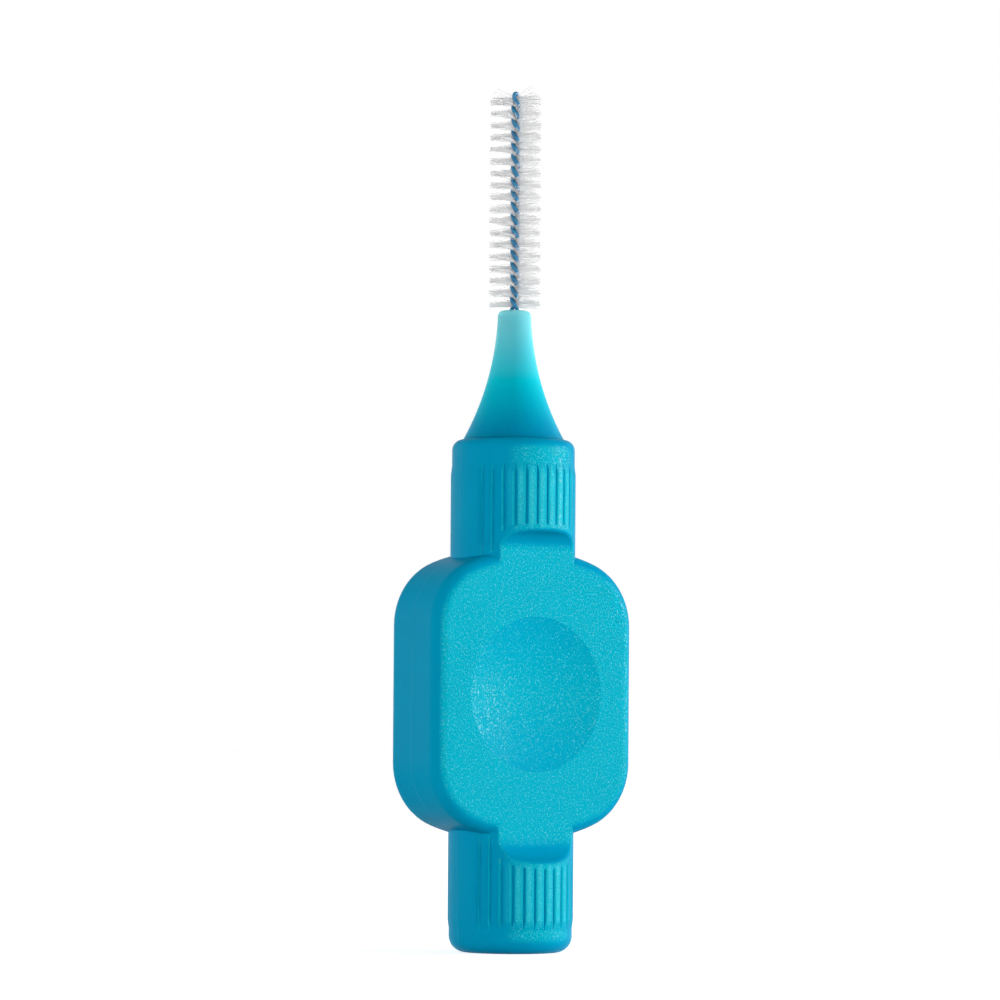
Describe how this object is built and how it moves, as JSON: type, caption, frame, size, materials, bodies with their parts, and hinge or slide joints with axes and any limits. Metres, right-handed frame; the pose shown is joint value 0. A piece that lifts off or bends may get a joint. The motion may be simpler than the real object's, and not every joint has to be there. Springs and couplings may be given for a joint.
{
  "type": "interdental brush",
  "caption": "Interdental brush with a flat ribbed grip handle, a soft bendable flared neck and a slim head of nylon bristles held in a twisted coated wire.",
  "frame": {"origin": "centre of the flat foot end of the handle, on the brush axis", "axes": "+Z along the brush axis from the foot to the bristle tip, +X along the width of the grip plate, -Y out of the front face of the grip plate"},
  "size_m": [0.0156, 0.0084, 0.0575],
  "materials": {
    "handle_plastic": "satin",
    "neck_elastomer": "satin",
    "wire_steel": "drawn",
    "wire_plastic": "gloss",
    "bristle_nylon": "satin"
  },
  "bodies": {
    "handle": {"grip_handle": "handle_plastic"},
    "neck": {"flex_neck": "neck_elastomer"},
    "head": {"wire_core": "wire_steel", "wire_coat": "wire_plastic", "bristle_row_01": "bristle_nylon", "bristle_row_02": "bristle_nylon", "bristle_row_03": "bristle_nylon", "bristle_row_04": "bristle_nylon", "bristle_row_05": "bristle_nylon", "bristle_row_06": "bristle_nylon", "bristle_row_07": "bristle_nylon", "bristle_row_08": "bristle_nylon", "bristle_row_09": "bristle_nylon", "bristle_row_10": "bristle_nylon", "bristle_row_11": "bristle_nylon", "bristle_row_12": "bristle_nylon", "bristle_row_13": "bristle_nylon", "bristle_row_14": "bristle_nylon", "bristle_row_15": "bristle_nylon", "bristle_row_16": "bristle_nylon", "bristle_row_17": "bristle_nylon", "bristle_row_18": "bristle_nylon"}
  },
  "joints": [
    {"name": "neck_bend", "type": "hinge", "parent": "handle", "child": "neck", "pos_m": [0, 0, 0.0392], "axis": [0, 1, 0], "range_deg": [-30, 30], "stiffness_Nm_per_rad": 0.012, "deforming": ["flex_neck", "wire_core", "wire_coat"]},
    {"name": "wire_bend", "type": "hinge", "parent": "neck", "child": "head", "pos_m": [0, 0, 0.0438], "axis": [1, 0, 0], "range_deg": [-15, 15], "stiffness_Nm_per_rad": 0.015, "deforming": ["wire_core", "wire_coat"]}
  ]
}
